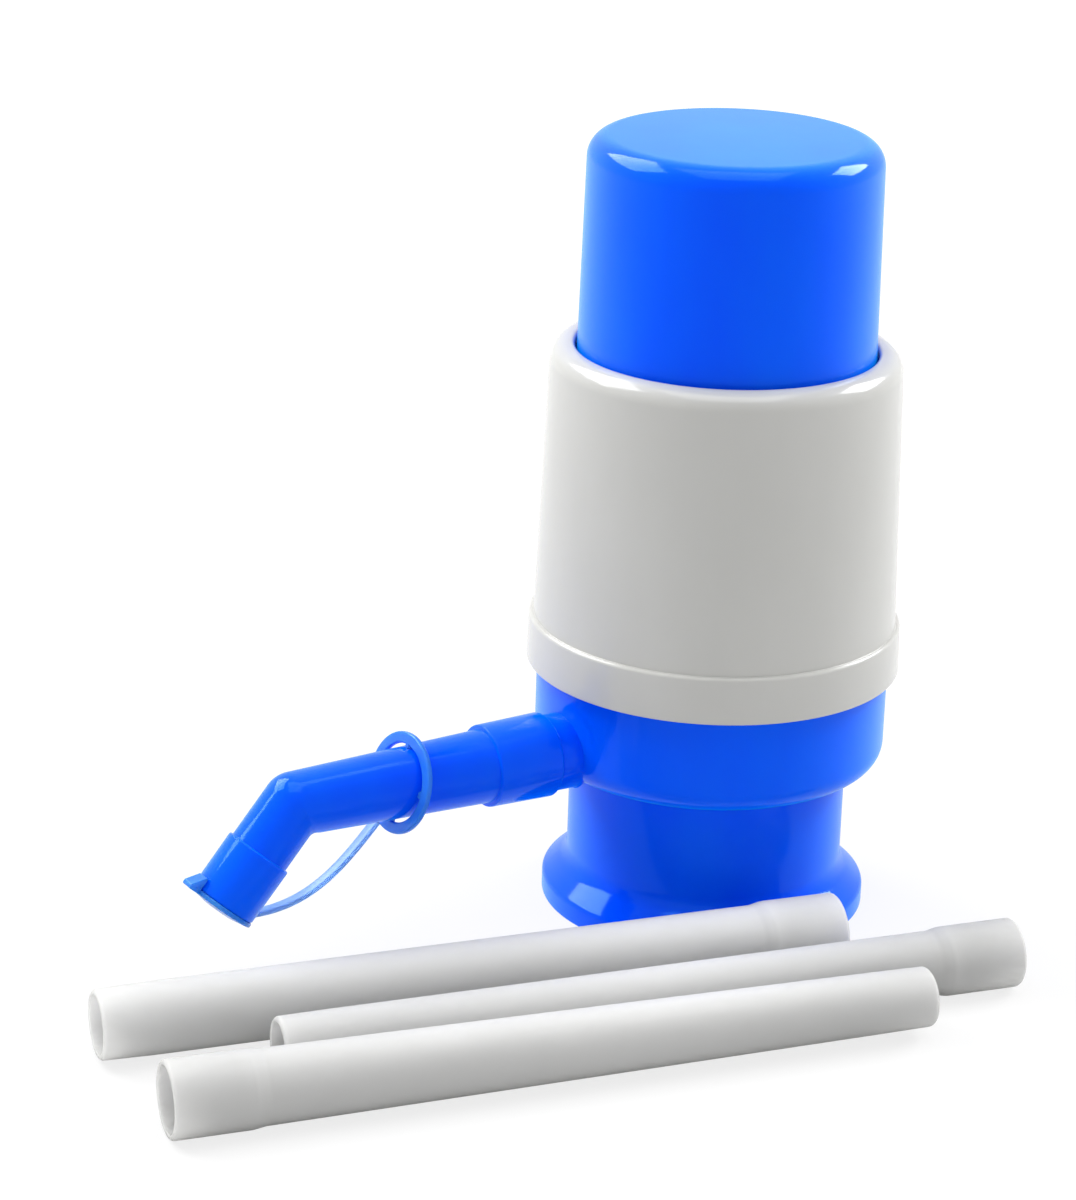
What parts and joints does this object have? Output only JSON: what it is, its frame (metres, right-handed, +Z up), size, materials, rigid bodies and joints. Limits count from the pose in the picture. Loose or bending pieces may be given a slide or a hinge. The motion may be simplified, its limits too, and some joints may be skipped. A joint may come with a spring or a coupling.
{
  "type": "water jug hand pump",
  "caption": "Hand-pressed bellows pump for a large water bottle, with a swivelling bent spout, a strapped nozzle lid, a neck locking collar and loose suction tubes lying in front.",
  "frame": {"origin": "on the floor, under the middle of the pump and its loose tubes together", "axes": "+Z up along the pump, +X along the loose tubes towards the pump's side, -Y towards the side where the tubes lie"},
  "size_m": [0.2008, 0.1324, 0.1775],
  "materials": {
    "blue_plastic": "glossy moulded blue",
    "pale_blue_plastic": "soft translucent pale blue",
    "white_plastic": "semi-gloss off-white",
    "tube_plastic": "satin translucent white",
    "bellows_plastic": "soft milky white",
    "rubber": "matt dark",
    "spring_steel": "drawn wire"
  },
  "bodies": {
    "pump": {"housing": "white_plastic", "base_body": "blue_plastic", "valve_plate": "white_plastic", "plate_seal": "rubber", "bellows_ring": "white_plastic", "bellows": "bellows_plastic", "return_spring": "spring_steel", "neck_sleeve": "pale_blue_plastic", "neck_gasket": "rubber", "spout_seal": "rubber"},
    "press": {"press_cap": "blue_plastic"},
    "inlet": {"inlet_valve": "rubber"},
    "outlet": {"outlet_valve": "rubber"},
    "collar": {"lock_collar": "blue_plastic"},
    "spout": {"spout": "blue_plastic", "strap_ring": "pale_blue_plastic", "cap_strap": "pale_blue_plastic"},
    "lid": {"nozzle_cap": "pale_blue_plastic"},
    "upper_tube": {"tube_upper": "tube_plastic"},
    "middle_tube": {"tube_middle": "tube_plastic"},
    "lower_tube": {"tube_lower": "tube_plastic"}
  },
  "joints": [
    {"name": "press_slide", "type": "slide", "parent": "pump", "child": "press", "axis": [0, 0, -1], "range_m": [0, 0.04], "stiffness_N_per_m": 600, "springref_m": -0.015, "deforming": ["bellows", "return_spring"]},
    {"name": "inlet_flap", "type": "slide", "parent": "press", "child": "inlet", "axis": [0, 0, -1], "range_m": [0, 0.001], "stiffness_N_per_m": 60, "springref_m": -0.0008},
    {"name": "outlet_flap", "type": "slide", "parent": "pump", "child": "outlet", "axis": [0, 0, -1], "range_m": [0, 0.001], "stiffness_N_per_m": 60, "springref_m": -0.0008},
    {"name": "collar_slide", "type": "slide", "parent": "pump", "child": "collar", "axis": [0, 0, -1], "range_m": [0, 0.008]},
    {"name": "spout_swivel", "type": "hinge", "parent": "pump", "child": "spout", "pos_m": [0.0537, 0.02407, 0.0418], "axis": [-0.9813, -0.1925, 0], "continuous": true},
    {"name": "lid_pull", "type": "slide", "parent": "spout", "child": "lid", "axis": [-0.6347, -0.1245, -0.7627], "range_m": [0, 0.012], "deforming": ["cap_strap"]},
    {"name": "upper_tube_slide", "type": "slide", "parent": "pump", "child": "upper_tube", "axis": [1, 0, 0], "range_m": [-0.03, 0.03]},
    {"name": "middle_tube_slide", "type": "slide", "parent": "pump", "child": "middle_tube", "axis": [1, 0, 0], "range_m": [-0.03, 0.03]},
    {"name": "lower_tube_slide", "type": "slide", "parent": "pump", "child": "lower_tube", "axis": [1, 0, 0], "range_m": [-0.03, 0.03]}
  ]
}
